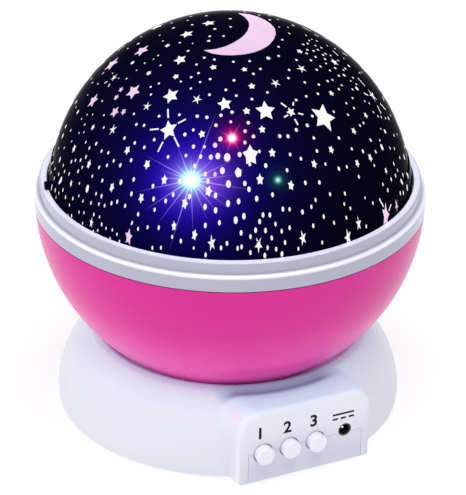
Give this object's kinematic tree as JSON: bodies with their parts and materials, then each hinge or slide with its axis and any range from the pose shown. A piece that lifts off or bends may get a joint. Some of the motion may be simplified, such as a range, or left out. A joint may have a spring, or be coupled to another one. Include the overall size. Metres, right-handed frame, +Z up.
{
  "type": "star night light projector",
  "caption": "Table night light that projects stars: round base with a control box, glossy bowl turning on it, pale ring and a dark lift-off star dome.",
  "frame": {"origin": "on the turning axis, at the height of the feet's undersides", "axes": "+Z up along the turning axis of the bowl; the control box on the base faces -Y, +X is to its right seen from the front"},
  "size_m": [0.132, 0.132, 0.138],
  "materials": {
    "white_shell": "smooth moulded, satin gloss",
    "white_cover": "smooth moulded, satin gloss",
    "foot_rubber": "matt soft rubber",
    "zinc_screw": "bright zinc",
    "plate_plastic": "natural moulded",
    "steel_axle": "ground",
    "motor_can": "plated can",
    "washer_plastic": "slippery plastic",
    "green_board": "solder mask",
    "switch_black": "moulded",
    "jack_black": "moulded",
    "contact_metal": "nickel plated",
    "cell_wrap": "printed film wrap, plain",
    "post_plastic": "moulded",
    "white_board": "white solder mask",
    "lamp_clear": "clear resin",
    "lamp_red_lens": "tinted resin",
    "lamp_blue_lens": "tinted resin",
    "lamp_green_lens": "tinted resin",
    "pink_bowl": "translucent magenta, glossy",
    "gear_plastic": "moulded acetal",
    "pinion_brass": "cut brass",
    "pale_ring": "pearl, glossy",
    "dark_dome": "near-black with light windows, glossy",
    "white_button": "moulded"
  },
  "bodies": {
    "base": {"base_shell": "white_shell", "bottom_cover": "white_cover", "rubber_feet": "foot_rubber", "base_screws": "zinc_screw", "gear_plate": "plate_plastic", "gear_plate_screws": "zinc_screw", "idler_axle": "steel_axle", "motor": "motor_can", "motor_screws": "zinc_screw", "glide_washer": "washer_plastic", "control_board": "green_board", "board_screws": "zinc_screw", "tact_switches": "switch_black", "dc_jack": "jack_black", "jack_pin": "contact_metal", "battery_cells": "cell_wrap", "battery_contacts": "contact_metal", "lamp_post": "post_plastic", "lamp_board": "white_board", "lamp_warm": "lamp_clear", "lamp_red": "lamp_red_lens", "lamp_blue": "lamp_blue_lens", "lamp_green": "lamp_green_lens"},
    "shade": {"bowl": "pink_bowl", "bowl_screws": "zinc_screw", "hub_gear": "gear_plastic", "trim_ring": "pale_ring"},
    "dome": {"star_dome": "dark_dome"},
    "idler": {"idler_gear": "gear_plastic"},
    "rotor": {"motor_shaft": "steel_axle", "motor_pinion": "pinion_brass"},
    "button_left": {"button_1": "white_button", "switch_plunger_1": "switch_black"},
    "button_middle": {"button_2": "white_button", "switch_plunger_2": "switch_black"},
    "button_right": {"button_3": "white_button", "switch_plunger_3": "switch_black"},
    "door": {"battery_door": "white_cover", "door_screw": "zinc_screw"}
  },
  "joints": [
    {"name": "shade_spin", "type": "hinge", "parent": "base", "child": "shade", "pos_m": [0, 0, 0.024], "axis": [0, 0, 1], "continuous": true},
    {"name": "idler_spin", "type": "hinge", "parent": "base", "child": "idler", "pos_m": [-0.0284, 0.00761, 0.016], "axis": [0, 0, 1], "continuous": true},
    {"name": "rotor_spin", "type": "hinge", "parent": "base", "child": "rotor", "pos_m": [-0.03803, -0.00615, 0.016], "axis": [0, 0, 1], "continuous": true},
    {"name": "dome_lift", "type": "slide", "parent": "shade", "child": "dome", "axis": [0, 0, 1], "range_m": [0, 0.08]},
    {"name": "button_left_press", "type": "slide", "parent": "base", "child": "button_left", "axis": [0, 1, 0], "range_m": [0, 0.0008], "stiffness_N_per_m": 800, "springref_m": -0.001},
    {"name": "button_middle_press", "type": "slide", "parent": "base", "child": "button_middle", "axis": [0, 1, 0], "range_m": [0, 0.0008], "stiffness_N_per_m": 800, "springref_m": -0.001},
    {"name": "button_right_press", "type": "slide", "parent": "base", "child": "button_right", "axis": [0, 1, 0], "range_m": [0, 0.0008], "stiffness_N_per_m": 800, "springref_m": -0.001},
    {"name": "door_swing", "type": "hinge", "parent": "base", "child": "door", "pos_m": [0, -0.0128, 0.0009], "axis": [-1, 0, 0], "range_deg": [0, 60]}
  ],
  "couplings": [
    {"joint": "idler_spin", "follows": "shade_spin", "ratio": -4.25},
    {"joint": "rotor_spin", "follows": "shade_spin", "ratio": 12.75}
  ]
}
